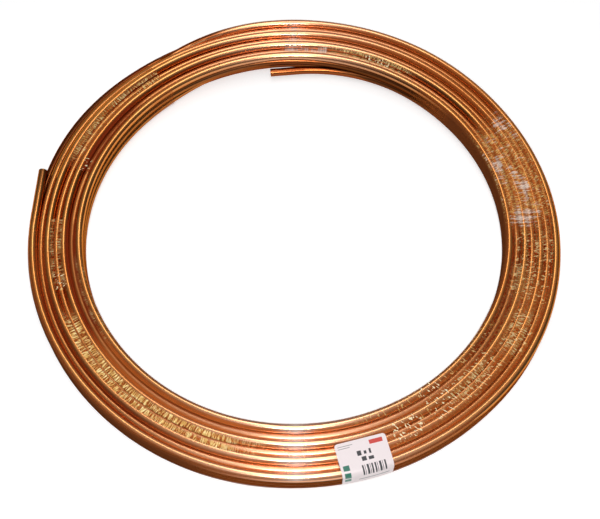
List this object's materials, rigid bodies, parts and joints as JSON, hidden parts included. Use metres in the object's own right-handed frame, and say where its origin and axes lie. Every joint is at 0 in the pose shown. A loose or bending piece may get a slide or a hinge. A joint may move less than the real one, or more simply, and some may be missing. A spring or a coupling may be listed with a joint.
{
  "type": "copper tube coil",
  "caption": "Flat ring-shaped coil of soft copper tube in nested layers, wrapped in clear stretch film, with a small paper label over its outer edge and both tube ends free.",
  "frame": {"origin": "middle of the underside, on the coil's axis, in the plane that it lies on", "axes": "+Z along the coil's axis, upwards; the outer tube end is at the -X side, the inner one at the +Y side"},
  "size_m": [0.7348, 0.7349, 0.044],
  "materials": {
    "copper": "bright drawn copper",
    "film": "clear, wrinkled",
    "label": "smooth white"
  },
  "bodies": {
    "root": {"copper_tube_coil": "copper", "stretch_film": "film", "paper_label": "label"}
  },
  "joints": []
}
